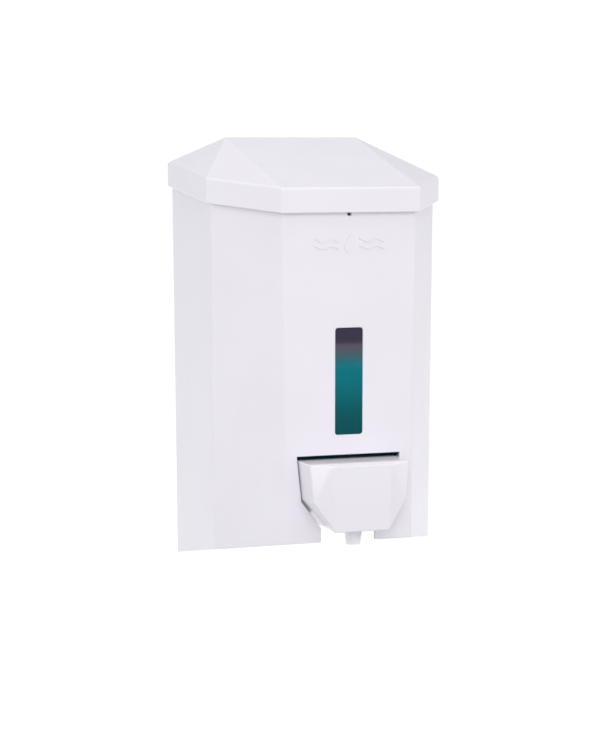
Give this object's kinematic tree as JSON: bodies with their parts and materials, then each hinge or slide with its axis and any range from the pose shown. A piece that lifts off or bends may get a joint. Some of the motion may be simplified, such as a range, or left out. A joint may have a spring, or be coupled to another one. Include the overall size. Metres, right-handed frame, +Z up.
{
  "type": "wall mounted soap dispenser",
  "caption": "Wall mounted liquid soap dispenser with a hinged hipped lid, level window, inner tank and a push lever that works a piston pump.",
  "frame": {"origin": "on the wall plane, at the centre of the four wall screws", "axes": "+X to the viewer's right, +Y into the wall, +Z up; the front faces -Y"},
  "size_m": [0.117, 0.1058, 0.2019],
  "materials": {
    "white_abs": "gloss",
    "white_lever": "gloss",
    "smoked_clear": "gloss",
    "tank_pp": "satin",
    "soap": "gloss",
    "pump_plastic": "satin",
    "valve_rubber": "matte",
    "pad_rubber": "matte",
    "steel": "satin",
    "spring_steel": "satin"
  },
  "bodies": {
    "body": {"housing": "white_abs", "back_plate": "white_abs", "drop_emblem": "white_abs", "window_lens": "smoked_clear", "soap_tank": "tank_pp", "liquid_soap": "soap", "pump_cylinder": "pump_plastic", "pump_cap": "pump_plastic", "pump_gasket": "valve_rubber", "pump_lock_nut": "pump_plastic", "inlet_valve": "valve_rubber", "pump_spring": "spring_steel", "lid_pin_right": "steel", "lid_pin_left": "steel", "lever_pin_right": "steel", "lever_pin_left": "steel", "housing_screw_right": "steel", "housing_screw_left": "steel", "tank_pad_right": "pad_rubber", "tank_pad_left": "pad_rubber"},
    "lid": {"lid": "white_abs"},
    "lever": {"push_lever": "white_lever"},
    "piston": {"piston": "pump_plastic", "piston_seal": "valve_rubber", "outlet_valve": "valve_rubber"}
  },
  "joints": [
    {"name": "lid_hinge", "type": "hinge", "parent": "body", "child": "lid", "pos_m": [0, -0.0055, 0.0915], "axis": [-1, 0, 0], "range_deg": [0, 45]},
    {"name": "lever_push", "type": "hinge", "parent": "body", "child": "lever", "pos_m": [0, -0.0857, -0.0436], "axis": [1, 0, 0], "range_deg": [0, 10], "stiffness_Nm_per_rad": 0.5, "springref_deg": -11.46},
    {"name": "piston_stroke", "type": "slide", "parent": "body", "child": "piston", "axis": [0, 1, 0], "range_m": [0, 0.0032], "deforming": ["pump_spring"]}
  ],
  "couplings": [
    {"joint": "piston_stroke", "follows": "lever_push", "m_per_rad": 0.0179}
  ]
}
